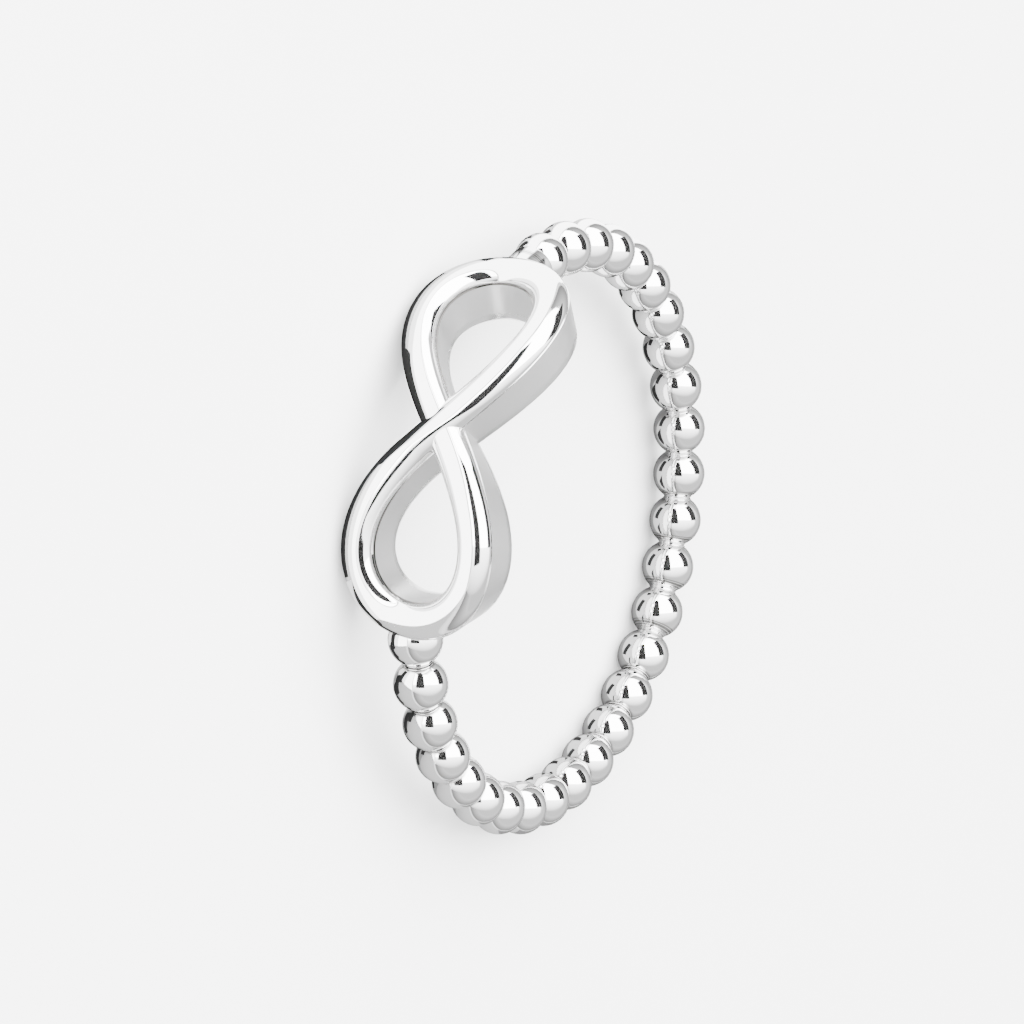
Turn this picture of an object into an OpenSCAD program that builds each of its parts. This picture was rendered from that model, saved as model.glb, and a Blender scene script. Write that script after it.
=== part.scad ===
// Infinity ring: a band of one row of round beads, closed by a looped infinity head.
// The ring lies on its side, as it rests by itself. Up is +Z and the head faces -Y.
// The origin is on the surface that it lies on, under the middle of its bounding box.
// All of it is cast and soldered into one piece of metal, so it is one solid.

/* [Band] */
// Inside diameter of the beaded band, across the beads' inner sides
inner_d = 17.2; // [15.7:0.1:19.8]
// Diameter of one bead
bead_d = 1.8; // [1.6:0.05:2.0]
// Distance between the centres of two neighbouring beads
bead_pitch = 1.65; // [1.5:0.01:1.7]
// Diameter of the neck between two beads
neck_d = 0.9; // [0.7:0.05:1.0]

/* [Infinity head] */
// From the middle of the head to the ribbon's centre line at the end of a loop, along the ring
loop_reach = 6.1; // [5.4:0.05:6.4]
// From the middle of the head to the ribbon's centre line at the widest point of a loop, across the ring
loop_spread = 2.1; // [1.8:0.05:2.5]
// How full the ends of the loops are: 0 is slim and pointed, 0.1 is blunt
loop_fullness = 0.05; // [0:0.01:0.08]
// Width of the ribbon, seen from outside
ribbon_w = 1.2; // [1.0:0.05:1.4]
// Depth of the ribbon, from the finger outwards
ribbon_d = 1.95; // [1.8:0.05:2.3]
// Radius of the ribbon's two outer edges
outer_edge_r = 0.34; // [0.2:0.02:0.4]
// Radius of the ribbon's two edges next to the finger
inner_edge_r = 0.12; // [0.06:0.02:0.16]
// Height of the ribbon's crown over the tops of its outer edges
crown_h = 0.1; // [0.04:0.02:0.16]
// How far the under-strand's top sinks on its way to the crossing
under_dip = 0.12; // [0:0.02:0.3]
// Half of the length, along the ring, over which it sinks
drop_reach = 2.4; // [1.8:0.1:3.0]
// How far below the outer face the under-strand runs through the crossing
bridge_drop = 0.4; // [0.3:0.05:0.7]
// How far the head sits to the upper side of the band's mid-plane
head_offset = 0.25; // [0:0.05:0.4]

/* [Joints to the band] */
// How far the first bead is sunk into the end of the head
bead_bite = 0.65; // [0.3:0.05:0.8]
// Diameter of the smooth stub between the head's other end and the last bead
stub_d = 1.55; // [1.3:0.05:1.55]
// Least clear length between the head's other end and the last bead, which the stub bridges
stub_min = 0.4; // [0.3:0.1:1.5]
// Width of the groove between the stub and the last bead
stub_groove = 0.1; // [0.06:0.02:0.2]

/* [Hidden] */
$fn = 64;

// Colour of the polished metal
metal = "silver";

// Head: its inner face reaches a hair further in than the beads, its outer face lies one ribbon
// depth further out. Lengths along the head are arcs at half of its depth.
head_inset = 0.03;
head_inner_r = inner_d / 2 - head_inset;
head_outer_r = head_inner_r + ribbon_d;
head_mid_r = (head_inner_r + head_outer_r) / 2;
mm_to_deg = 180 / (PI * head_mid_r);
// Arc from the middle of the head to the outside of a loop's end
head_half_length = loop_reach + ribbon_w / 2;

// Band: the circle of the bead centres, the angle from one bead to the next, and half of the angle
// that one bead takes
band_r = inner_d / 2 + bead_d / 2;
bead_step = 2 * asin(bead_pitch / (2 * band_r));
bead_half_angle = asin(bead_d / 2 / band_r);
// As many beads as fit between the head's two ends
head_room_angle = (2 * head_half_length - bead_bite + stub_min) * mm_to_deg;
bead_count = 1 + floor((360 - head_room_angle - 2 * bead_half_angle) / bead_step);
// Angle from the middle of the opening in the bead row to its first and its last bead
gap_half_angle = (360 - (bead_count - 1) * bead_step) / 2;
// Arc from the middle of the bead row's opening to the near side of the first bead
first_bead_side = (gap_half_angle - bead_half_angle) / mm_to_deg;
// The head is set against the first bead, and the stub fills what is left at the other end
head_shift = first_bead_side + bead_bite - head_half_length;

// Steps along the ribbon, and along each rounded edge of its section
ribbon_steps = 96;
outer_edge_steps = 4;
inner_edge_steps = 2;
// Where the roundness of an outer edge passes into the crown, as an angle of the edge's arc
crown_angle = 80;
// Greatest number of the ribbon's faces that a line of sight can pass
ribbon_layers = 6;

// Turn angle where the line passes under the crossing, and the angle that is cut off on either side
// of it, so that the full section stops just short of the over-strand's walls
cross_u = 270;
cross_heading = path_heading(cross_u);
cross_angle = 2 * atan2(abs(cross_heading[1]), abs(cross_heading[0]));
wall_clearance = 0.06;
cut_length = (ribbon_w / 2) * (1 + cos(cross_angle)) / sin(cross_angle) + wall_clearance;
under_cut = cut_length / (path_speed(cross_u) * PI / 180);
// The bridge stands clear of the ribbon's sides and inner face, and ends inside it
bridge_inset = 0.1;
bridge_length = 2 * cut_length + 1;

// Stub: from inside the head's end to just short of the last bead
stub_root = head_half_length - head_shift - ribbon_w / 2;
bead_cap = sqrt(pow(bead_d, 2) - pow(stub_d, 2)) / 2;
stub_tip = gap_half_angle / mm_to_deg - (bead_cap + stub_groove) * head_mid_r / band_r;

// Resting pose: the ring lies on the two loops' lower sides and on the beads opposite the head.
// head_drop is how far the loops reach below the band's mid-plane, and loop_back is how far in
// front of the ring's axis the further loop touches the surface, at its widest place.
head_drop = loop_spread + ribbon_w / 2 - head_offset;
widest_u = 45;
widest_angle = (path_s(widest_u) + abs(head_shift)) * mm_to_deg;
loop_back = head_inner_r * cos(widest_angle);
rear_angle = (bead_count % 2 == 0) ? bead_step / 2 : 0;
rear_back = band_r * cos(rear_angle);
rest_span = loop_back + rear_back;
rest_tilt = acos(bead_d / 2 / norm([head_drop, rest_span])) - atan2(rest_span, head_drop);
rest_lift = rear_back * sin(rest_tilt) + bead_d / 2;
// The box reaches from the head's outer face to the outside of the rear beads
rest_back = (head_outer_r * cos(rest_tilt) + head_offset * sin(rest_tilt)
    - rear_back * cos(rest_tilt) - bead_d / 2) / 2;

// Ribbon's centre line for a turn angle u from 0 to 360: place along the ring and place across it.
// u = 0 and 180 are the ends of the two loops, and the line crosses itself at 90 and 270. On top it
// falls from the upper side of the loop without the soldered bead to the lower side of the other.
function path_s(u) = loop_reach * (cos(u) + loop_fullness * cos(3 * u)) / (1 + loop_fullness);
function path_z(u) = -loop_spread * sin(2 * u);

// Change of both places for each radian of turn, its size, and the unit vector along the line
function path_change(u) = [
    -loop_reach * (sin(u) + 3 * loop_fullness * sin(3 * u)) / (1 + loop_fullness),
    -2 * loop_spread * cos(2 * u)
];
function path_speed(u) = norm(path_change(u));
function path_heading(u) = path_change(u) / path_speed(u);

// Point on the ring: arc along it from the middle of the bead row's opening, place across it, radius
function ring_point(s, z, r) =
    let (a = s * mm_to_deg)
    [r * sin(a), -r * cos(a), z];

// 1 where the line passes under the crossing, easing to 0 at drop_reach from it along the ring
function dip(u) =
    let (t = min(abs(path_s(u)) / drop_reach, 1))
    cos(u - cross_u) > 0 ? pow(1 - t * t, 2) : 0;

// Points of an edge's arc: centre, radius, first and last angle
function edge_arc(centre, r, first, last, steps) =
    [for (i = [0:steps])
        let (a = first + (last - first) * i / steps)
        centre + r * [cos(a), sin(a)]];

// Section of the ribbon as [place across it, radius], between an inner and an outer radius
function ribbon_section(r_in, r_out) =
    let (
        half = ribbon_w / 2,
        shoulder_r = r_out - crown_h,
        inner_right = [half - inner_edge_r, r_in + inner_edge_r],
        outer_right = [half - outer_edge_r, shoulder_r - outer_edge_r],
        right = concat(
            edge_arc(inner_right, inner_edge_r, -90, 0, inner_edge_steps),
            edge_arc(outer_right, outer_edge_r, 0, crown_angle, outer_edge_steps)
        ),
        last = len(right) - 1
    )
    concat(
        right,
        [[0, r_out]],
        [for (i = [last:-1:0]) [-right[i][0], right[i][1]]]
    );

// The infinity ribbon: it starts beside the crossing as the under-strand, goes round one loop, over
// the crossing, round the other loop and back down to the crossing's other side
module infinity_ribbon() {
    first_u = cross_u - 360 + under_cut;
    last_u = cross_u - under_cut;
    points = [for (i = [0:ribbon_steps])
        let (
            u = first_u + (last_u - first_u) * i / ribbon_steps,
            heading = path_heading(u),
            section = ribbon_section(head_inner_r, head_outer_r - under_dip * dip(u))
        )
        for (p = section)
            ring_point(
                head_shift + path_s(u) - heading[1] * p[0],
                head_offset + path_z(u) + heading[0] * p[0],
                p[1]
            )
    ];
    count = len(ribbon_section(head_inner_r, head_outer_r));
    sides = [for (i = [0:ribbon_steps - 1]) for (k = [0:count - 1])
        let (a = i * count + k, b = i * count + (k + 1) % count)
        for (face = [[b, a, b + count], [b + count, a, a + count]]) face
    ];
    near_cap = [for (k = [0:count - 1]) k];
    far_cap = [for (k = [count - 1:-1:0]) ribbon_steps * count + k];
    faces = concat(sides, [near_cap, far_cap]);
    color(metal) polyhedron(points = points, faces = faces, convexity = ribbon_layers);
}

// The low stretch of the under-strand that runs through below the over-strand
module crossing_bridge() {
    heading = path_heading(cross_u);
    size = [bridge_length, ribbon_w - 2 * bridge_inset, ribbon_d - bridge_drop - bridge_inset];
    color(metal)
        rotate([0, 0, head_shift * mm_to_deg - 90])
            translate([head_inner_r + bridge_inset + size[2] / 2, 0, head_offset])
                rotate([atan2(heading[1], heading[0]), 0, 0])
                    rotate([0, 90, 0])
                        rotate([0, 0, 90])
                            cube(size, center = true);
}

// Straight round rod between two points
module rod(from, to, d) {
    way = to - from;
    translate(from)
        rotate([0, acos(way[2] / norm(way)), atan2(way[1], way[0])])
            cylinder(d = d, h = norm(way));
}

// Place of bead number i round the band, counted from 0 beside the head, and its centre
function bead_angle(i) = gap_half_angle + i * bead_step;
function bead_centre(i) = band_r * [sin(bead_angle(i)), -cos(bead_angle(i)), 0];

// One round bead, turned with the band
module bead(i) {
    color(metal)
        rotate([0, 0, bead_angle(i) - 90])
            translate([band_r, 0, 0])
                sphere(d = bead_d);
}

// Neck from bead number i to the next one
module neck(i) {
    color(metal) rod(bead_centre(i), bead_centre(i + 1), neck_d);
}

// Row of fused beads
module beaded_band() {
    for (i = [0:bead_count - 1]) bead(i);
    for (i = [0:bead_count - 2]) neck(i);
}

// Smooth stub between the head's other end and the last bead, with a neck behind its groove
module end_stub() {
    root = ring_point(-stub_root, 0, band_r);
    tip = ring_point(-stub_tip, 0, band_r);
    color(metal) rod(root, tip, stub_d);
    color(metal) rod((root + tip) / 2, bead_centre(bead_count - 1), neck_d);
}

// The whole ring, laid on its side
module infinity_ring() {
    translate([0, rest_back, rest_lift])
        rotate([-rest_tilt, 0, 0]) {
            beaded_band();
            infinity_ribbon();
            crossing_bridge();
            end_stub();
        }
}

infinity_ring();
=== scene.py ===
"""Infinity ring: a band of fused round beads and a looped infinity head, in polished silver."""

import math

import bmesh
import bpy
from mathutils import Matrix, Vector


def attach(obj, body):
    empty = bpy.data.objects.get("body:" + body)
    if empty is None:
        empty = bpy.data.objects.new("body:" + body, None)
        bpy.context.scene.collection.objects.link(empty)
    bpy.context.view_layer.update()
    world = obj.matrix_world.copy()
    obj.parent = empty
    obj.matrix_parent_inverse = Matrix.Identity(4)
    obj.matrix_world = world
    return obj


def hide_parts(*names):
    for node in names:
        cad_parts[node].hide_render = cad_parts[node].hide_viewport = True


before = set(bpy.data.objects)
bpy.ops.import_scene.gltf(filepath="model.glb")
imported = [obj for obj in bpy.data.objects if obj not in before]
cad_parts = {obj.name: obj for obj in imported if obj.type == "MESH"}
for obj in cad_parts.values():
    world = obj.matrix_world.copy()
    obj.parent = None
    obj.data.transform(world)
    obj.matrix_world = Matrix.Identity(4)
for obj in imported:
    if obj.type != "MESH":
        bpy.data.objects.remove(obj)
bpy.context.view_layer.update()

bl_info = {
    "name": "Infinity Ring",
    "version": (1, 0, 0),
    "blender": (4, 5, 0),
    "location": "3D View > Sidebar > Infinity Ring",
    "description": "Builds a beaded finger ring with an infinity head, and a plain stage for it",
    "category": "Add Mesh",
}

MM = 0.001
NODE = "infinity_ring"
# Points that lie closer than this are one point, in metres
WELD = 1e-8


def length(name, description, default_mm):
    """A length property, with its default given in millimetres."""
    return bpy.props.FloatProperty(
        name=name, description=description, default=default_mm * MM, min=0.0, precision=6,
        unit="LENGTH", subtype="DISTANCE",
    )


def angle(name, description, default_deg):
    """An angle property, with its default given in degrees."""
    return bpy.props.FloatProperty(
        name=name, description=description, default=math.radians(default_deg), precision=4,
        unit="ROTATION", subtype="ANGLE",
    )


def count(name, description, default):
    """A whole number property."""
    return bpy.props.IntProperty(name=name, description=description, default=default, min=3)


def factor(name, description, default, top=1.0):
    """A plain number property, from 0 to top."""
    return bpy.props.FloatProperty(
        name=name, description=description, default=default, min=0.0, max=top, precision=4
    )


def colour(name, description, default):
    """A colour property."""
    return bpy.props.FloatVectorProperty(
        name=name, description=description, default=default, size=3, min=0.0, max=1.0,
        subtype="COLOR",
    )


class RingBandSettings(bpy.types.PropertyGroup):
    """Sizes of the beaded band."""

    inner_d: length("Inside diameter", "Across the beads' inner sides", 17.2)
    bead_d: length("Bead diameter", "Diameter of one bead", 1.8)
    bead_pitch: length("Bead pitch", "Distance between the centres of two neighbouring beads", 1.65)
    bead_count: count("Beads", "Number of beads in the row", 28)
    barrel: factor("Barrel", "How much flatter a bead's inner side is than a ball", 0.15)
    neck_d: length("Neck diameter", "Diameter of the waist between two beads", 0.9)
    collar_d: length("Collar diameter", "Diameter of the two fine ridges round each waist", 0.98)
    collar_gap: length("Collar gap", "Distance between the two ridges", 0.1)
    seam_height: length("Seam height", "How far the fine seam runs above the band's mid-plane", 0.28)
    around: count("Bead segments", "Faces round a bead", 40)
    along: count("Bead rings", "Faces from one end of a bead to the other", 26)


class RingHeadSettings(bpy.types.PropertyGroup):
    """Sizes of the infinity head."""

    loop_reach: length("Loop reach", "Along the ring, from the middle to a loop's end", 6.1)
    loop_spread: length("Loop spread", "Across the ring, from the middle to a loop's widest point", 2.1)
    loop_fullness: factor("Loop fullness", "How blunt the ends of the loops are", 0.05)
    ribbon_w: length("Ribbon width", "Width of the ribbon, seen from outside", 1.2)
    ribbon_d: length("Ribbon depth", "Depth of the ribbon, from the finger outwards", 1.95)
    head_inset: length("Head inset", "How far the head's inner face reaches inside the beads", 0.03)
    head_offset: length("Head offset", "How far the head sits above the band's mid-plane", 0.25)
    top_h: length("Top height", "Height of the ribbon's rounded top over its side walls", 0.5)
    top_fullness: factor("Top fullness", "Exponent of the rounded top: 2 is an ellipse", 2.15, 6.0)
    inner_edge_r: length("Inner edge radius", "Radius of the ribbon's edges next to the finger", 0.12)
    lip_w: length("Lip", "Width of the fine ledge where the rounding meets the wall", 0.025)
    under_dip: length("Under dip", "How far the under-strand sinks towards the crossing", 0.12)
    drop_reach: length("Dip reach", "Half of the length over which it sinks", 2.4)
    under_lift: length(
        "Under lift", "How far the under-strand's inner face is raised below the crossing", 0.06
    )
    ridge_h: length("Ridge", "Fall from the over-strand's ridge to its edges at the crossing", 0.16)
    ridge_side: factor("Ridge side", "How far the ridge lies to the floor's side at the crossing", 0.4)
    ridge_reach: length("Ridge reach", "Half of the length of the ridge", 3.0)
    path_steps: count("Path steps", "Sections along the ribbon", 300)


class RingJointSettings(bpy.types.PropertyGroup):
    """Sizes of the places where band and head meet."""

    bead_bite: length("Bead bite", "How far the first bead is sunk into the head", 0.65)
    stub_d: length("Stub diameter", "Diameter of the stub before the last bead", 1.55)
    stub_groove: length("Stub groove", "Width of the groove between the stub and the last bead", 0.1)
    stub_edge_r: length("Stub edge radius", "Radius of the stub's rounded end", 0.14)


class RingFinishSettings(bpy.types.PropertyGroup):
    """Colours and finish of the silver."""

    silver: colour("Silver", "Colour of the polished silver", (0.87, 0.868, 0.866))
    # Dark tone of the seam, the clouds and the satin walls, and of the painted shade deep in the waists
    # and the painted dark reflection line round the eyes
    tarnish_and_shade: colour("Tarnish", "Colour of the silver deep in the grooves", (0.12, 0.115, 0.11))
    polish: factor("Polish", "Roughness of the mirror polish", 0.035)
    satin: factor("Satin", "Roughness of the ribbon's side walls", 0.3)
    scratch: factor("Scratches", "Strength of the micro-scratches", 0.5)
    # Darkness of a painted dark reflection line on the fine ledge round the two eyes
    painted_eye_line: factor("Eye line", "Darkness of the fine ledge round the two eyes", 0.85)


class RingStageSettings(bpy.types.PropertyGroup):
    """Floor, lights and camera."""

    floor_colour: colour("Floor colour", "Colour of the pale floor", (0.86, 0.86, 0.86))
    floor_size: length("Floor size", "Side of the square floor", 3000.0)
    sky_colour: colour("Sky colour", "Colour of the plain surroundings", (0.9, 0.9, 0.9))
    sky_strength: factor("Sky strength", "Brightness of the surroundings overhead", 1.4, 20.0)
    cove_strength: factor("Cove strength", "Brightness of the surroundings at the horizon", 4.6, 20.0)
    cove_low: angle("Cove foot", "Elevation up to which the surroundings are pale", 8)
    cove_high: angle("Cove top", "Elevation from which the surroundings are grey", 24)
    glow_strength: factor("Glow strength", "Brightness of the surroundings near the softbox", 4.0, 20.0)
    glow_reach: angle("Glow reach", "How far from the softbox the glow fades out", 84)
    camera_azimuth: angle("Camera azimuth", "Round the ring, from straight ahead of the head", 20.1142)
    camera_elevation: angle("Camera elevation", "Above the floor", 31.4973)
    camera_roll: angle("Camera roll", "Turn of the camera about its line of sight", -97.3264)
    camera_distance: length("Camera distance", "From the camera to the point it looks at", 178.668)
    camera_lens: bpy.props.FloatProperty(
        name="Camera lens", description="Focal length on a sensor that is 36 mm wide", default=188.087,
        unit="CAMERA",
    )
    aim: bpy.props.FloatVectorProperty(
        name="Aim", description="Point that the camera looks at", size=3, precision=6,
        default=(-0.0734 * MM, -0.7318 * MM, 0.5392 * MM), unit="LENGTH", subtype="XYZ",
    )


class RingShape:
    """Places along the ring, worked out from the settings, in the ring's own frame: its axis is +Z
    and the head faces -Y. self.place lays it on its side on the floor."""

    def __init__(self):
        scene = bpy.context.scene
        band, head, joints = scene.ring_band, scene.ring_head, scene.ring_joints
        self.band, self.head, self.joints = band, head, joints
        self.inner_r = band.inner_d / 2 - head.head_inset
        self.outer_r = self.inner_r + head.ribbon_d
        self.mid_r = (self.inner_r + self.outer_r) / 2
        self.half_length = head.loop_reach + head.ribbon_w / 2
        self.band_r = (band.inner_d + band.bead_d) / 2
        self.bead_step = 2 * math.asin(band.bead_pitch / (2 * self.band_r))
        self.bead_half = math.asin(band.bead_d / 2 / self.band_r)
        self.gap_half = (2 * math.pi - (band.bead_count - 1) * self.bead_step) / 2
        # Arc from the middle of the gap in the row to the near side of the bead that bites the head
        first_side = (self.gap_half - self.bead_half) * self.mid_r
        self.shift = first_side + joints.bead_bite - self.half_length
        self.stub_root = self.half_length - self.shift - head.ribbon_w / 2
        # From the last bead's centre to where the bead is as wide as the stub
        cap = math.sqrt(band.bead_d**2 - joints.stub_d**2) / 2
        clear = cap + joints.stub_groove
        self.stub_tip = self.gap_half * self.mid_r - clear * self.mid_r / self.band_r
        self.place = self.resting_place()

    def resting_place(self):
        """The ring lies on its side: on the loops' lower sides and the beads opposite the head."""
        head = self.head
        drop = head.loop_spread + head.ribbon_w / 2 - head.head_offset
        # The line of a loop reaches farthest across the ring at a turn angle of 45 degrees
        widest = (self.path(math.radians(45))[0] + abs(self.shift)) / self.mid_r
        rear = self.band_r * math.cos(self.bead_step / 2 if self.band.bead_count % 2 == 0 else 0.0)
        span = self.inner_r * math.cos(widest) + rear
        bead_r = self.band.bead_d / 2
        self.tilt = math.acos(bead_r / math.hypot(drop, span)) - math.atan2(span, drop)
        self.lift = rear * math.sin(self.tilt) + bead_r
        reach = self.outer_r * math.cos(self.tilt) + head.head_offset * math.sin(self.tilt)
        self.back = (reach - rear * math.cos(self.tilt) - bead_r) / 2
        return Matrix.Translation((0, self.back, self.lift)) @ Matrix.Rotation(-self.tilt, 4, "X")

    def path(self, u):
        """The ribbon's centre line: place along the ring and across it, for a turn angle u."""
        head, full = self.head, self.head.loop_fullness
        along = math.cos(u) + full * math.cos(3 * u)
        return head.loop_reach * along / (1 + full), -head.loop_spread * math.sin(2 * u)

    def heading(self, u):
        """Unit vector along the centre line, for a turn angle u."""
        head, full = self.head, self.head.loop_fullness
        along = -head.loop_reach * (math.sin(u) + 3 * full * math.sin(3 * u)) / (1 + full)
        return Vector((along, -2 * head.loop_spread * math.cos(2 * u))).normalized()

    def point(self, s, z, r):
        """Point of the ring: arc along it at the head's mid depth, place across it, and radius."""
        a = s / self.mid_r
        return Vector((r * math.sin(a), -r * math.cos(a), z))

    def bead_angle(self, i):
        """Angle of bead number i, counted from 0 beside the head."""
        return self.gap_half + i * self.bead_step

    def seat(self, a):
        """Matrix of a place on the band's circle: X outwards, Z along the band."""
        out = Vector((math.sin(a), -math.cos(a), 0))
        along = Vector((math.cos(a), math.sin(a), 0))
        turn = Matrix((out, along.cross(out), along)).transposed().to_4x4()
        return Matrix.Translation(out * self.band_r) @ turn


def ease(x):
    """1 at 0, easing to 0 at 1 and beyond."""
    t = min(abs(x), 1.0)
    return (1 - t * t) ** 2


def clamp(x, low=0.0, high=1.0):
    """x, kept between low and high."""
    return max(low, min(high, x))


def corner(x, y, radius, first, last, steps):
    """Points of a rounded corner about the centre (x, y), from one angle to another in degrees."""
    turns = [math.radians(first + (last - first) * k / steps) for k in range(steps + 1)]
    return [(x + radius * math.cos(t), y + radius * math.sin(t)) for t in turns]


def finish_mesh(bm, name, shape, material, sharp_deg):
    """Turns a bmesh in the ring's frame into a finished piece that lies in its place."""
    bmesh.ops.recalc_face_normals(bm, faces=bm.faces)
    bmesh.ops.transform(bm, matrix=shape.place, verts=bm.verts)
    mesh = bpy.data.meshes.new(name)
    bm.to_mesh(mesh)
    bm.free()
    mesh.polygons.foreach_set("use_smooth", [True] * len(mesh.polygons))
    mesh.set_sharp_from_angle(angle=math.radians(sharp_deg))
    mesh.materials.append(material)
    piece = bpy.data.objects.new(name, mesh)
    bpy.context.scene.collection.objects.link(piece)
    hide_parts(NODE)
    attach(piece, "root")


def revolve(bm, profile, matrix, steps):
    """Spins a line of (radius, height) points about the Z axis and sets the shape at the matrix."""
    before = set(bm.verts)
    verts = [bm.verts.new((r, 0, h)) for r, h in profile]
    edges = [bm.edges.new(pair) for pair in zip(verts, verts[1:])]
    bmesh.ops.spin(
        bm, geom=verts + edges, cent=(0, 0, 0), axis=(0, 0, 1), dvec=(0, 0, 0),
        angle=2 * math.pi, steps=steps, use_merge=True, use_duplicate=False,
    )
    made = [v for v in bm.verts if v not in before]
    bmesh.ops.remove_doubles(bm, verts=made, dist=WELD)
    made = [v for v in bm.verts if v not in before]
    bmesh.ops.transform(bm, matrix=matrix, verts=made)


def swept_grid(bm, across, along, place):
    """A grid that is bent into a closed tube: place(i, j) gives the point of its column and row."""
    grid = bmesh.ops.create_grid(bm, x_segments=across, y_segments=along, size=1)
    for v in grid["verts"]:
        i = round((v.co.x + 1) / 2 * across)
        j = round((v.co.y + 1) / 2 * along)
        v.co = place(i % across, j % along)
    bmesh.ops.remove_doubles(bm, verts=bm.verts, dist=WELD)


# Shader maths


class Value:
    """A number in a shader: arithmetic on it adds Math nodes."""

    def __init__(self, shader, socket):
        self.shader, self.socket = shader, socket

    def _math(self, operation, *inputs):
        node = self.shader.node("ShaderNodeMath", {"operation": operation}, dict(enumerate(inputs)))
        return Value(self.shader, node.outputs[0])

    def __add__(self, other):
        return self._math("ADD", self, other)

    def __radd__(self, other):
        return self._math("ADD", other, self)

    def __sub__(self, other):
        return self._math("SUBTRACT", self, other)

    def __rsub__(self, other):
        return self._math("SUBTRACT", other, self)

    def __mul__(self, other):
        return self._math("MULTIPLY", self, other)

    def __rmul__(self, other):
        return self._math("MULTIPLY", other, self)

    def __truediv__(self, other):
        return self._math("DIVIDE", self, other)

    def __rtruediv__(self, other):
        return self._math("DIVIDE", other, self)

    def __abs__(self):
        return self._math("ABSOLUTE", self)

    def fraction(self):
        return self._math("FRACT", self)

    def root(self):
        return self._math("SQRT", self)

    def angle_to(self, other):
        return self._math("ARCTAN2", self, other)

    def ramp(self, low, high, smooth=True):
        """0 below low and 1 above high."""
        kind = "SMOOTHSTEP" if smooth else "LINEAR"
        node = self.shader.node(
            "ShaderNodeMapRange", {"interpolation_type": kind},
            {"Value": self, "From Min": low, "From Max": high, "To Min": 0.0, "To Max": 1.0},
        )
        return Value(self.shader, node.outputs[0])


# Sockets of a Mix node that is set to colours: its factor, its two colours and its result
MIX_FACTOR, MIX_FIRST, MIX_SECOND, MIX_RESULT = 0, 6, 7, 2


class Shader:
    """The node tree of one material, or of the world."""

    def __init__(self, owner):
        self.owner = owner
        owner.use_nodes = True
        self.nodes = owner.node_tree.nodes
        self.links = owner.node_tree.links
        self.nodes.clear()

    def node(self, kind, options=None, inputs=None):
        """Adds a node: its options are set first, then the values or links of its sockets."""
        node = self.nodes.new(kind)
        for name, value in (options or {}).items():
            setattr(node, name, value)
        for name, value in (inputs or {}).items():
            socket = node.inputs[name]
            if isinstance(value, Value):
                self.links.new(value.socket, socket)
            elif isinstance(value, bpy.types.NodeSocket):
                self.links.new(value, socket)
            else:
                socket.default_value = value
        return node

    def attribute(self, name):
        """The number that the mesh holds at each point under this name."""
        return Value(self, self.node("ShaderNodeAttribute", {"attribute_name": name}).outputs["Fac"])

    def parts(self, vector):
        """The three numbers of a vector."""
        node = self.node("ShaderNodeSeparateXYZ", None, {"Vector": vector})
        return [Value(self, socket) for socket in node.outputs]

    def noise(self, vector, scale, detail, roughness):
        """Noise from 0 to 1 at a vector."""
        node = self.node("ShaderNodeTexNoise", {"noise_dimensions": "3D"}, {
            "Vector": vector, "Scale": scale, "Detail": detail, "Roughness": roughness,
        })
        return Value(self, node.outputs["Fac"])

    def blend(self, amount, first, second):
        """Colour between first and second."""
        node = self.node("ShaderNodeMix", {"data_type": "RGBA"}, {
            MIX_FACTOR: amount, MIX_FIRST: first, MIX_SECOND: second,
        })
        return node.outputs[MIX_RESULT]

    def output(self, socket, kind="ShaderNodeOutputMaterial"):
        """Connects the surface, and gives the material or the world that the nodes belong to."""
        self.node(kind, None, {"Surface": socket})
        return self.owner


def ring_coordinates(shader, shape):
    """The surface's place in the ring's own frame, in millimetres."""
    place = shader.node("ShaderNodeTexCoord").outputs["Object"]
    mapping = shader.node("ShaderNodeMapping", {"vector_type": "TEXTURE"}, {
        "Vector": place,
        "Location": (0, shape.back, shape.lift),
        "Rotation": (-shape.tilt, 0, 0),
        "Scale": (MM, MM, MM),
    })
    return mapping.outputs[0]


# Patterns of the silver, in millimetres: scale, detail and roughness of each noise
WEAR_NOISE = (0.9, 3.0, 0.55)
CLOUD_NOISE = (3.5, 4.0, 0.6)
WAVE_NOISE = (0.7, 1.0, 0.4)
GRAIN_NOISE = (34.0, 2.0, 0.5)
BRUSH_NOISE = (2.4, 3.0, 0.6)
# Satin brushing runs along the ribbon: stretch and turn of its noise
BRUSHING = ((1.2, 1.2, 14.0), (0.0, 0.0, 0.0))
# Two sets of scratches: stretch and turn of the noise, then the noise, and the first set's share
LONG_LINES = ((0.35, 5.0, 1.2), (0.3, 0.5, 0.9), (2.2, 3.0, 0.6))
CROSS_LINES = ((4.2, 0.5, 1.6), (0.8, 0.2, 0.4), (1.9, 3.0, 0.6))
LONG_SHARE = 0.6
SCRATCH_WIDTH = 0.03
# Where the noises of wear and cloud set in, and where they are full
WORN = (0.42, 0.7)
CLOUDED = (0.55, 0.85)
# Relief of the surface, in millimetres
WAVE_H, GRAIN_H, SCRATCH_H, BRUSH_H = 0.0009, 0.00006, 0.0004, 0.0006
# Roughness that clouds, scratches and waists add
CLOUD_ROUGH, SCRATCH_ROUGH, WAIST_ROUGH = 0.035, 0.1, 0.1
# How much of the satin is even, and how much follows the brushing
SATIN_EVEN, SATIN_BRUSHED = 0.7, 0.6
# How far each takes the silver's colour towards its dark tone; in the waists this is painted shade
CLOUD_TINT, WALL_TINT, WAIST_SHADE = 0.06, 0.13, 0.8
SEAM_TINT, SEAM_WORN_TINT = 0.25, 0.6
# Where the ledge's mark turns into the painted dark reflection line round the eyes
PAINTED_LINE_EDGE = (0.25, 0.75)
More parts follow.
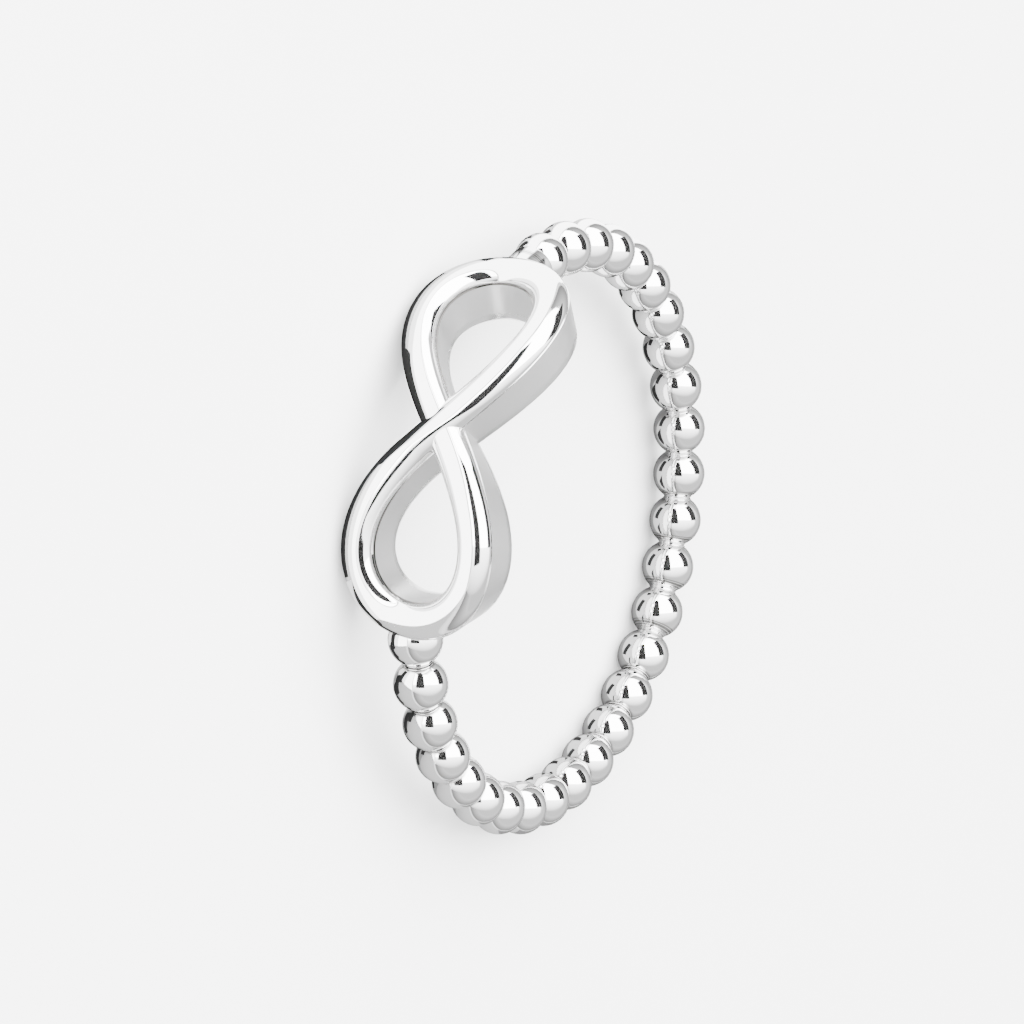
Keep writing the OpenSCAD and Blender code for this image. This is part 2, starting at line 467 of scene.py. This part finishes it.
# Counted in bead pitches from a bead's middle: where the waist sets in and is full, where its ridge
# lies, and half the ridge's width, sharp and faded
WAIST_EDGE = (0.425, 0.462)
COLLAR_PLACE = 0.472
COLLAR_EDGE = (0.003, 0.012)
# Added to the count of beads: a half, so that waists lie at whole numbers, and 40, so that the count
# stays above 0
COUNT_SHIFT = 40.5
# The seam: half its width in millimetres, sharp and faded, and how far from the band's circle
# towards the finger it is full and gone, in bead diameters
SEAM_LINE = (0.006, 0.03)
SEAM_FULL, SEAM_GONE = 0.35, 0.15


def stretched(shader, vector, scale, turn):
    """The vector turned and stretched, for a pattern of lines."""
    node = shader.node("ShaderNodeMapping", {"vector_type": "POINT"}, {
        "Vector": vector, "Rotation": turn, "Scale": scale,
    })
    return node.outputs[0]


def scratches(shader, vector, scale, turn, noise):
    """Thin lines from stretched noise, from 0 to 1."""
    lines = shader.noise(stretched(shader, vector, scale, turn), *noise)
    return 1 - abs(lines - 0.5).ramp(0.0, SCRATCH_WIDTH)


def waists(shape, x, y):
    """1 at each waist between two beads, and 1 deep in it but not on its two ridges, where shade is
    painted.
    """
    turn = x.angle_to(0 - y)
    along = ((turn - shape.gap_half) / shape.bead_step + COUNT_SHIFT).fraction()
    off_middle = abs(along - 0.5)
    waist = off_middle.ramp(*WAIST_EDGE)
    ridge = 1 - abs(off_middle - COLLAR_PLACE).ramp(*COLLAR_EDGE)
    return waist, waist * (1 - ridge)


def seam_line(shape, x, y, z):
    """1 on the fine seam that runs along the band's inner side."""
    band = shape.band
    full = (shape.band_r - SEAM_FULL * band.bead_d) / MM
    gone = (shape.band_r - SEAM_GONE * band.bead_d) / MM
    inside = 1 - (x * x + y * y).root().ramp(full, gone)
    return (1 - abs(z - band.seam_height / MM).ramp(*SEAM_LINE)) * inside


def polished_silver(name, shape, satin_walls=False, seam=False):
    """Mirror polish with faint scratches and waviness. The ribbon has satin walls and a painted dark
    reflection line on the ledge round its eyes. Beads, waists and stub are duller deep in the waists and
    carry painted shade there."""
    finish = bpy.context.scene.ring_finish
    shader = Shader(bpy.data.materials.new(name))
    place = ring_coordinates(shader, shape)

    wear = shader.noise(place, *WEAR_NOISE)
    cloud = shader.noise(place, *CLOUD_NOISE)
    wave = shader.noise(place, *WAVE_NOISE)
    grain = shader.noise(place, *GRAIN_NOISE)
    lines = scratches(shader, place, *LONG_LINES)
    cross_lines = scratches(shader, place, *CROSS_LINES)
    both = lines * LONG_SHARE + cross_lines * (1 - LONG_SHARE)
    scratch = both * wear.ramp(*WORN) * finish.scratch

    rough = finish.polish + cloud * CLOUD_ROUGH + scratch * SCRATCH_ROUGH
    height = wave * WAVE_H + grain * GRAIN_H - scratch * SCRATCH_H
    tint = cloud.ramp(*CLOUDED) * CLOUD_TINT

    if satin_walls:
        wall, ledge = shader.attribute("wall"), shader.attribute("ledge")
        brushed = shader.noise(stretched(shader, place, *BRUSHING), *BRUSH_NOISE)
        satin = wall * (finish.satin - finish.polish)
        rough = rough + satin * (SATIN_EVEN + brushed * SATIN_BRUSHED)
        height = height + wall * brushed * BRUSH_H
        # The ledge mark paints a dark reflection line round the two eyes
        tint = tint + wall * WALL_TINT + ledge.ramp(*PAINTED_LINE_EDGE) * finish.painted_eye_line
    else:
        x, y, z = shader.parts(place)
        waist, deep = waists(shape, x, y)
        rough = rough + waist * WAIST_ROUGH
        # Painted shade deep in the waists between the beads, leaving the two ridges bright
        tint = tint + deep * WAIST_SHADE
        if seam:
            tint = tint + seam_line(shape, x, y, z) * (SEAM_TINT + wear * SEAM_WORN_TINT)

    bump = shader.node("ShaderNodeBump", None, {"Strength": 1.0, "Distance": MM, "Height": height})
    base = shader.blend(tint.ramp(0.0, 1.0, False), (*finish.silver, 1), (*finish.tarnish_and_shade, 1))
    surface = shader.node("ShaderNodeBsdfPrincipled", None, {
        "Metallic": 1.0, "Base Color": base, "Roughness": rough, "Normal": bump.outputs[0],
    })
    return shader.output(surface.outputs[0])


# The floor: scale, detail and roughness of its mottling, how dark the mottling is, roughness and sheen
MOTTLE_NOISE = (160.0, 3.0, 0.5)
MOTTLE_TONE = 0.985
FLOOR_ROUGH = 0.75
FLOOR_SHEEN = 0.2
# Tone of a black flag
FLAG_TONE = 0.01


def pale_floor(name):
    """Matt pale floor with the faintest mottling."""
    stage = bpy.context.scene.ring_stage
    shader = Shader(bpy.data.materials.new(name))
    place = shader.node("ShaderNodeTexCoord").outputs["Object"]
    mottle = shader.noise(place, *MOTTLE_NOISE)
    low = tuple(c * MOTTLE_TONE for c in stage.floor_colour)
    base = shader.blend(mottle, (*low, 1), (*stage.floor_colour, 1))
    surface = shader.node("ShaderNodeBsdfPrincipled", None, {
        "Base Color": base, "Roughness": FLOOR_ROUGH, "Specular IOR Level": FLOOR_SHEEN,
    })
    return shader.output(surface.outputs[0])


def glowing_white(name, bright):
    """Even white light of a softbox."""
    shader = Shader(bpy.data.materials.new(name))
    surface = shader.node("ShaderNodeEmission", None, {"Color": (1, 1, 1, 1), "Strength": bright})
    return shader.output(surface.outputs[0])


def glowing_fade(name, foot_bright, top_bright):
    """Light that brightens from a card's foot to its top, by the attribute rise."""
    shader = Shader(bpy.data.materials.new(name))
    rise = shader.attribute("rise").ramp(0.0, 1.0, False)
    low = foot_bright / top_bright
    tone = shader.blend(rise, (low, low, low, 1), (1, 1, 1, 1))
    surface = shader.node("ShaderNodeEmission", None, {"Color": tone, "Strength": top_bright})
    return shader.output(surface.outputs[0])


def plain_matt(name, tone):
    """Matt grey or black of a studio card."""
    shader = Shader(bpy.data.materials.new(name))
    surface = shader.node("ShaderNodeBsdfPrincipled", None, {
        "Base Color": (tone, tone, tone, 1), "Roughness": 1.0, "Specular IOR Level": 0.0,
    })
    return shader.output(surface.outputs[0])


# Pieces

# Half a neck's length as a share of the bead pitch, and half the width of one of its two ridges as a
# share of half the distance between them
NECK_SHARE = 0.3
COLLAR_SHARE = 0.55
COLLAR_STEPS = 6
# The small inner edges of the ribbon: steps of their rounding, and how much of the satin they have
EDGE_STEPS = 4
EDGE_SATIN = 0.4
# Steps of the ribbon's rounding that belong to the ledge and carry its painted dark reflection line
PAINTED_LINE_STEPS = 2
# How fast the over-strand's ridge crosses the ribbon, and how high over the wall its fall sets in
RIDGE_SLANT = 1.4
FALL_RISE = 0.12 * MM
# Marks of the ribbon are looked up by place, in this many steps to the metre
MARK_STEPS = 1e7
# Shares of the stub's length at which its side is divided, and how much of the way from its root to
# the last bead's centre its neck runs
STUB_RINGS = (0.0, 0.3, 0.6)
STUB_NECK_SHARE = 0.95
STUB_EDGE_STEPS = 6
# Points this close to a bead's axis are its poles and stay where they are, in radii
POLE = 1e-6


class RING_OT_beads(bpy.types.Operator):
    """Builds the row of round beads"""

    bl_idname = "ring.beads"
    bl_label = "Beads"

    def execute(self, context):
        shape = RingShape()
        band = shape.band
        bm = bmesh.new()
        for i in range(band.bead_count):
            self.add_bead(bm, band, shape.seat(shape.bead_angle(i)))
        finish_mesh(bm, "beads", shape, polished_silver("bead_silver", shape, seam=True), sharp_deg=60)
        return {"FINISHED"}

    def add_bead(self, bm, band, seat):
        """One bead, with its ends along the band; its inner side is slightly barrel-shaped."""
        ball = bmesh.ops.create_uvsphere(bm, u_segments=band.around, v_segments=band.along, radius=1)
        for v in ball["verts"]:
            width = math.hypot(v.co.x, v.co.y)
            if width < POLE:
                continue
            inward = clamp(-v.co.x / width)
            power = 2 + band.barrel * inward * inward
            full = (1 - min(abs(v.co.z), 1) ** power) ** (1 / power)
            v.co.x *= full / width
            v.co.y *= full / width
        size = Matrix.Scale(band.bead_d / 2, 4)
        bmesh.ops.transform(bm, matrix=seat @ size, verts=ball["verts"])


class RING_OT_necks(bpy.types.Operator):
    """Builds the waists between the beads, each with two fine ridges"""

    bl_idname = "ring.necks"
    bl_label = "Necks"

    steps: count("Steps", "Faces round a waist", 36)

    def execute(self, context):
        shape = RingShape()
        band = shape.band
        bm = bmesh.new()
        reach = band.bead_pitch * NECK_SHARE
        low, high = band.neck_d / 2, band.collar_d / 2
        gap = band.collar_gap / 2
        ridge = gap * COLLAR_SHARE
        profile = [(low, -reach)]
        for centre in (-gap, gap):
            for k in range(COLLAR_STEPS + 1):
                t = math.pi * k / COLLAR_STEPS
                profile.append((low + (high - low) * math.sin(t), centre - ridge * math.cos(t)))
        profile.append((low, reach))
        # A neck is straight, so its middle lies inside the band's circle
        inset = shape.band_r * (1 - math.cos(shape.bead_step / 2))
        for i in range(band.bead_count - 1):
            seat = shape.seat(shape.bead_angle(i + 0.5))
            seat = Matrix.Translation(-inset * seat.col[0].to_3d()) @ seat
            revolve(bm, profile, seat, self.steps)
        finish_mesh(bm, "bead_necks", shape, polished_silver("neck_silver", shape), sharp_deg=50)
        return {"FINISHED"}


class RING_OT_head(bpy.types.Operator):
    """Builds the infinity head: one ribbon that passes over and under itself"""

    bl_idname = "ring.head"
    bl_label = "Infinity head"

    top_steps: count("Top steps", "Faces over half of the top", 18)
    wall_steps: count("Wall steps", "Faces up a side wall", 5)

    def execute(self, context):
        shape = RingShape()
        head = shape.head
        bm = bmesh.new()
        rows = [self.row(shape, 2 * math.pi * j / head.path_steps) for j in range(head.path_steps)]
        swept_grid(bm, len(rows[0]), head.path_steps, lambda i, j: rows[j][i][0])
        wall_layer = bm.verts.layers.float.new("wall")
        # Mark of the ledge round the eyes, where a dark reflection line is painted
        painted_line_layer = bm.verts.layers.float.new("ledge")
        marks = {self.key(p): (wall, ledge) for row in rows for p, wall, ledge in row}
        for v in bm.verts:
            v[wall_layer], v[painted_line_layer] = marks.get(self.key(v.co), (0.0, 0.0))
        material = polished_silver("head_silver", shape, satin_walls=True)
        finish_mesh(bm, "infinity_head", shape, material, sharp_deg=38)
        return {"FINISHED"}

    def key(self, p):
        """A place, rounded so that it can be looked up."""
        return tuple(round(c * MARK_STEPS) for c in p)

    def row(self, shape, u):
        """The ribbon's section at a turn angle u: points of the ring's frame, each with two marks,
        1 on the side walls and 1 on the ledge that faces the loop's eye, for its painted dark reflection
        line."""
        head = shape.head
        s, z = shape.path(u)
        way = shape.heading(u)
        under = math.sin(u) < 0
        drop = head.under_dip * ease(s / head.drop_reach) if under else 0.0
        lift = head.under_lift * ease(s / head.drop_reach) if under else 0.0
        ridge = 0.0 if under else head.ridge_h * ease(s / head.ridge_reach)
        side = clamp(s / head.ridge_reach * RIDGE_SLANT - head.ridge_side, -1, 1)
        # The side of the ribbon that faces the eye, fading to 0 at the crossing
        eye = -clamp(s / head.ribbon_w, -1, 1)
        row = []
        for across, r, wall, ledge in self.section(shape, drop, lift, ridge, side):
            along = shape.shift + s - way.y * across
            height = head.head_offset + z + way.x * across
            mark = ledge * abs(eye) if eye * across > 0 else 0.0
            row.append((shape.point(along, height, r), wall, mark))
        return row

    def section(self, shape, drop, lift, ridge, side):
        """Section of the ribbon: place across it, radius, and the marks of wall and ledge; the ledge
        mark is for a painted dark reflection line.
        """
        head = shape.head
        half = head.ribbon_w / 2
        inner, outer = shape.inner_r + lift, shape.outer_r - drop
        small = head.inner_edge_r
        top_half = half - head.lip_w
        power = 2 / head.top_fullness
        edge = corner(half - small, inner + small, small, -90, 0, EDGE_STEPS)
        right = [(*point, EDGE_SATIN, 0.0) for point in edge]
        crease = outer - head.top_h
        wall_h = crease - head.lip_w - inner - small
        for k in range(1, self.wall_steps + 1):
            right.append((half, inner + small + wall_h * k / self.wall_steps, 1.0, 0.0))
        right.append((half, crease, 1.0, 1.0))
        for k in range(self.top_steps + 1):
            t = math.pi / 2 * k / self.top_steps
            place = top_half * max(math.cos(t), 0.0) ** power if k < self.top_steps else 0.0
            ledge = 1.0 if k < PAINTED_LINE_STEPS else 0.0
            right.append((place, crease + head.top_h * math.sin(t) ** power, 0.0, ledge))
        left = [(-a, *rest) for a, *rest in reversed(right[:-1])]
        whole = right + left
        return [(a, r - ridge * self.fall(a / half, r - crease, side), *marks) for a, r, *marks in whole]

    def fall(self, across, rise, side):
        """How far the roof falls at a place across the over-strand and a height over the walls: 0 on
        the ridge and on the walls, and up to 1 at an edge."""
        return abs(across - side) / (1 + abs(side)) * clamp(rise / FALL_RISE)


class RING_OT_stub(bpy.types.Operator):
    """Builds the smooth stub between the head and the last bead"""

    bl_idname = "ring.stub"
    bl_label = "End stub"

    steps: count("Steps", "Faces round the stub", 64)

    def execute(self, context):
        shape = RingShape()
        band, joints = shape.band, shape.joints
        root = shape.point(-shape.stub_root, 0, shape.band_r)
        tip = shape.point(-shape.stub_tip, 0, shape.band_r)
        bead = shape.seat(shape.bead_angle(band.bead_count - 1)).translation
        r, edge = joints.stub_d / 2, joints.stub_edge_r
        long = (tip - root).length
        profile = [(0.0, 0.0), *((r, long * share) for share in STUB_RINGS)]
        profile += [*corner(r - edge, long - edge, edge, 0, 90, STUB_EDGE_STEPS), (0.0, long)]
        bm = bmesh.new()
        revolve(bm, profile, self.along(root, tip), self.steps)
        neck_r, reach = band.neck_d / 2, (bead - root).length * STUB_NECK_SHARE
        revolve(bm, [(neck_r, 0.0), (neck_r, reach)], self.along(root, bead), self.steps // 2)
        finish_mesh(bm, "end_stub", shape, polished_silver("stub_silver", shape), sharp_deg=50)
        return {"FINISHED"}

    def along(self, start, end):
        """Matrix with its origin at start and its Z axis towards end."""
        turn = (end - start).to_track_quat("Z", "X").to_matrix().to_4x4()
        return Matrix.Translation(start) @ turn


# Stage

# Softboxes and black flags: name, brightness at the foot and at the top, distance in mm, and
# the four corners, two at the foot and two at the top, each given as the place on a polished ball
# where the camera sees it: to the right and up, in radii
CARDS = (
    ("softbox", 17.0, 17.0, 1000, ((-0.19, -0.05), (0.74, -0.02), (0.5, 0.5), (0.0, 0.62))),
    ("softbox_low", 15.0, 15.0, 1000, ((-0.265, -0.02), (-0.18, -0.04), (-0.06, 0.56), (-0.2, 0.6))),
    ("softbox_skirt", 1.5, 7.0, 1010, ((-0.25, -0.26), (0.74, -0.22), (0.75, -0.01), (-0.262, -0.02))),
    ("flag_middle", 0.0, 0.0, 200, ((-0.17, -0.13), (0.13, -0.14), (0.05, 0.42), (-0.08, 0.42))),
    ("flag_right", 0.0, 0.0, 200, ((0.62, -0.03), (0.8, -0.02), (0.57, 0.53), (0.41, 0.46))),
)
# Middle of the glow round the softbox, given in the same way, and the cosine of the angle from it
# within which the glow is full
GLOW_PLACE = (0.3, 0.3)
GLOW_FULL = 0.7
# Cuts of a card that fades, and steps of a card that is spun round the ring
FADE_CUTS = 7
SPIN_STEPS = 96
# Sensor width in mm, and the nearest and farthest that the camera sees in metres
SENSOR_W = 36
CLIP_START, CLIP_END = 0.01, 20
# Black flag on the floor below each bead, given by the place on the bead where the camera sees it
BEAD_FLAG = ((-0.8, 0.08), (-0.68, 0.04), (-0.46, 0.42), (-0.56, 0.48))
FLAG_LIFT = 0.04 * MM
# Cards on the floor that only reflections see: name, grey tone, brightness (0 does not glow), inner
# and outer radius, first and last azimuth in degrees, place ahead of the origin and height, in mm
FLOOR_CARDS = (
    ("card_grey", 0.26, 0.0, 0.0, 1300.0, 0.0, 360.0, 0.0, 0.01),
    # The next card is a darker strip right under the beads: a painted contact shadow that only
    # reflections see.
    ("card_under", 0.1, 0.0, 9.0, 10.7, 52.0, 308.0, 0.3, 0.015),
    ("card_back", 0.06, 0.0, 10.9, 40.0, 122.0, 238.0, 0.0, 0.012),
    ("card_shade", 0.17, 0.0, 9.0, 30.0, 46.0, 122.0, 0.0, 0.012),
    ("card_far", 0.3, 0.0, 40.0, 1300.0, 46.0, 116.0, 0.0, 0.012),
    ("card_inside", 0.0, 5.0, 0.0, 5.5, 0.0, 360.0, -1.0, 0.02),
    ("card_near", 0.0, 4.5, 11.3, 12.6, -52.0, 48.0, 0.0, 0.02),
    ("card_front", 0.0, 9.0, 12.6, 60.0, -112.0, 48.0, 0.0, 0.02),
    ("card_foot", 0.0, 2.4, 9.3, 11.2, 35.5, 50.0, 0.0, 0.03),
    ("card_foot_far", 0.0, 2.4, 9.3, 11.2, -50.0, -32.5, 0.0, 0.03),
    ("flag_head", 0.01, 0.0, 8.3, 10.7, -32.0, 35.0, 0.13, 0.03),
    ("flag_cross", 0.01, 0.0, 10.7, 11.8, -10.0, 10.0, 0.0, 0.035),
)
# Grey wall behind and beside the ring that only reflections see: brightness at its foot and at its
# top, radius and height in mm, first and last azimuth in degrees
WALL = (0.4, 1.5, 1200.0, 640.0, 52.0, 296.0)


def direction(azimuth, elevation):
    """Unit vector from the ring: azimuth from straight ahead of the head, and elevation."""
    flat = math.cos(elevation)
    return Vector((math.sin(azimuth) * flat, -math.cos(azimuth) * flat, math.sin(elevation)))


def mirrored(view, x, y):
    """Where a ball's surface faces, and where it mirrors, at a place that the camera's axes see."""
    out = Vector((x, y, math.sqrt(1 - x * x - y * y)))
    return view @ out, view @ (2 * out.z * out - Vector((0, 0, 1)))


def facing(where, target, roll):
    """Matrix of a thing at where whose -Z looks at target, rolled about that line."""
    turn = (target - where).to_track_quat("-Z", "Y").to_matrix().to_4x4()
    return Matrix.Translation(where) @ turn @ Matrix.Rotation(roll, 4, "Z")


class RING_OT_stage(bpy.types.Operator):
    """Sets the floor, the soft lights, the flags and the camera"""

    bl_idname = "ring.stage"
    bl_label = "Stage"

    def execute(self, context):
        stage = context.scene.ring_stage
        self.floor(stage)
        view = self.camera(stage)
        self.world(stage, view)
        for card in CARDS:
            self.card(card, view)
        self.bead_flags(view)
        for card in FLOOR_CARDS:
            self.floor_card(card)
        self.wall()
        return {"FINISHED"}

    def floor(self, stage):
        """The plain square floor."""
        bm = bmesh.new()
        bmesh.ops.create_grid(bm, x_segments=1, y_segments=1, size=stage.floor_size / 2)
        self.show(bm, "floor", pale_floor("pale_floor"))

    def world(self, stage, view):
        """Plain surroundings: pale at the horizon, as a floor that curves up, and grey above, with a
        soft glow round the softbox."""
        shader = Shader(bpy.data.worlds.new("studio"))
        way = shader.node("ShaderNodeTexCoord").outputs["Generated"]
        rise = shader.parts(way)[2].ramp(math.sin(stage.cove_low), math.sin(stage.cove_high))
        middle = shader.node("ShaderNodeVectorMath", {"operation": "DOT_PRODUCT"}, {
            0: way, 1: mirrored(view, *GLOW_PLACE)[1],
        })
        glow = Value(shader, middle.outputs["Value"]).ramp(math.cos(stage.glow_reach), GLOW_FULL)
        sky = stage.sky_strength + glow * (stage.glow_strength - stage.sky_strength)
        strength = stage.cove_strength + rise * (sky - stage.cove_strength)
        background = shader.node(
            "ShaderNodeBackground", None, {"Color": (*stage.sky_colour, 1), "Strength": strength}
        )
        bpy.context.scene.world = shader.output(background.outputs[0], "ShaderNodeOutputWorld")

    def card(self, card, view):
        """A four-cornered card round the ring: a softbox if it is bright and a black flag if not. One
        whose foot and top differ in brightness fades, and only reflections see it."""
        name, foot_bright, top_bright, distance, corners = card
        bm = bmesh.new()
        layer = bm.verts.layers.float.new("rise")
        verts = [bm.verts.new(mirrored(view, *corner)[1] * distance * MM) for corner in corners]
        for vert, rise in zip(verts, (0.0, 0.0, 1.0, 1.0)):
            vert[layer] = rise
        bmesh.ops.contextual_create(bm, geom=verts)
        if foot_bright != top_bright:
            bmesh.ops.subdivide_edges(bm, edges=bm.edges, cuts=FADE_CUTS, use_grid_fill=True)
            self.reflected_only(self.show(bm, name, glowing_fade(name, foot_bright, top_bright)))
            return
        material = glowing_white(name, top_bright) if top_bright else plain_matt(name, FLAG_TONE)
        shown = self.show(bm, name, material)
        shown.visible_camera = False
        shown.visible_shadow = False
        shown.visible_diffuse = top_bright > 0

    def bead_flags(self, view):
        """The black flags that show as a dark curve on the side of each bead that faces the floor,
        for all beads but the first and the last."""
        shape = RingShape()
        bm = bmesh.new()
        for i in range(1, shape.band.bead_count - 1):
            centre = shape.place @ shape.seat(shape.bead_angle(i)).translation
            places = []
            for corner in BEAD_FLAG:
                out, way = mirrored(view, *corner)
                start = centre + out * shape.band.bead_d / 2
                places.append(start + way * (start.z - FLAG_LIFT) / -way.z)
            bmesh.ops.contextual_create(bm, geom=[bm.verts.new(p) for p in places])
        self.reflected_only(self.show(bm, "flag_beads", plain_matt("flag_beads", FLAG_TONE)))

    def floor_card(self, card):
        """A ring-shaped card, or a part of one, that lies on the floor."""
        name, tone, bright, inner, outer, first, last, ahead, lift = card
        bm = bmesh.new()
        start = direction(math.radians(first), 0.0)
        self.sweep(bm, [start * inner * MM, start * outer * MM], last - first)
        bmesh.ops.translate(bm, vec=(0, -ahead * MM, lift * MM), verts=bm.verts)
        material = glowing_white(name, bright) if bright else plain_matt(name, tone)
        self.reflected_only(self.show(bm, name, material))

    def wall(self):
        """The grey wall that the beads' rims reflect."""
        foot_bright, top_bright, radius, height, first, last = WALL
        bm = bmesh.new()
        foot = direction(math.radians(first), 0.0) * radius * MM
        self.sweep(bm, [foot, foot + Vector((0, 0, height * MM))], last - first)
        layer = bm.verts.layers.float.new("rise")
        for v in bm.verts:
            v[layer] = v.co.z / (height * MM)
        material = glowing_fade("wall_grey", foot_bright, top_bright)
        self.reflected_only(self.show(bm, "wall_grey", material))

    def sweep(self, bm, ends, degrees):
        """Spins a straight edge about the ring's axis."""
        verts = [bm.verts.new(p) for p in ends]
        edge = bm.edges.new(verts)
        bmesh.ops.spin(
            bm, geom=[*verts, edge], cent=(0, 0, 0), axis=(0, 0, 1), dvec=(0, 0, 0),
            angle=math.radians(degrees), steps=SPIN_STEPS, use_merge=degrees == 360,
            use_duplicate=False,
        )

    def reflected_only(self, card):
        """Only reflections see the card."""
        card.visible_camera = False
        card.visible_shadow = False
        card.visible_diffuse = False

    def show(self, bm, name, material):
        """Turns a bmesh into a thing of the stage."""
        mesh = bpy.data.meshes.new(name)
        bm.to_mesh(mesh)
        bm.free()
        mesh.materials.append(material)
        shown = bpy.data.objects.new(name, mesh)
        bpy.context.scene.collection.objects.link(shown)
        return shown

    def camera(self, stage):
        """The camera at the photo's angle. Gives the matrix of its axes."""
        lens = bpy.data.cameras.new("camera")
        lens.lens, lens.sensor_width = stage.camera_lens, SENSOR_W
        lens.clip_start, lens.clip_end = CLIP_START, CLIP_END
        camera = bpy.data.objects.new("camera", lens)
        aim = Vector(stage.aim)
        back = direction(stage.camera_azimuth, stage.camera_elevation)
        camera.matrix_world = facing(aim + back * stage.camera_distance, aim, -stage.camera_roll)
        bpy.context.scene.collection.objects.link(camera)
        bpy.context.scene.camera = camera
        return camera.matrix_world.to_3x3()


class RING_PT_sidebar(bpy.types.Panel):
    """Settings and building steps of the ring"""

    bl_idname = "RING_PT_sidebar"
    bl_label = "Infinity Ring"
    bl_space_type = "VIEW_3D"
    bl_region_type = "UI"
    bl_category = "Infinity Ring"

    def draw(self, context):
        for attribute in GROUPS:
            group = getattr(context.scene, attribute)
            box = self.layout.box()
            box.label(text=group.bl_rna.description)
            for name in group.bl_rna.properties.keys():
                if name not in ("rna_type", "name"):
                    box.prop(group, name)
        for operator in OPERATORS:
            self.layout.operator(operator.bl_idname)


GROUPS = {
    "ring_band": RingBandSettings,
    "ring_head": RingHeadSettings,
    "ring_joints": RingJointSettings,
    "ring_finish": RingFinishSettings,
    "ring_stage": RingStageSettings,
}
OPERATORS = (RING_OT_beads, RING_OT_necks, RING_OT_head, RING_OT_stub, RING_OT_stage)


def register():
    """Registers the settings, the operators and the panel."""
    for name, group in GROUPS.items():
        bpy.utils.register_class(group)
        setattr(bpy.types.Scene, name, bpy.props.PointerProperty(type=group))
    for operator in OPERATORS:
        bpy.utils.register_class(operator)
    bpy.utils.register_class(RING_PT_sidebar)


def unregister():
    """Takes them away again."""
    bpy.utils.unregister_class(RING_PT_sidebar)
    for operator in reversed(OPERATORS):
        bpy.utils.unregister_class(operator)
    for name, group in reversed(list(GROUPS.items())):
        delattr(bpy.types.Scene, name)
        bpy.utils.unregister_class(group)


def main():
    """Builds the ring and its stage."""
    register()
    bpy.ops.ring.beads()
    bpy.ops.ring.necks()
    bpy.ops.ring.head()
    bpy.ops.ring.stub()
    bpy.ops.ring.stage()


if __name__ == "__main__":
    main()
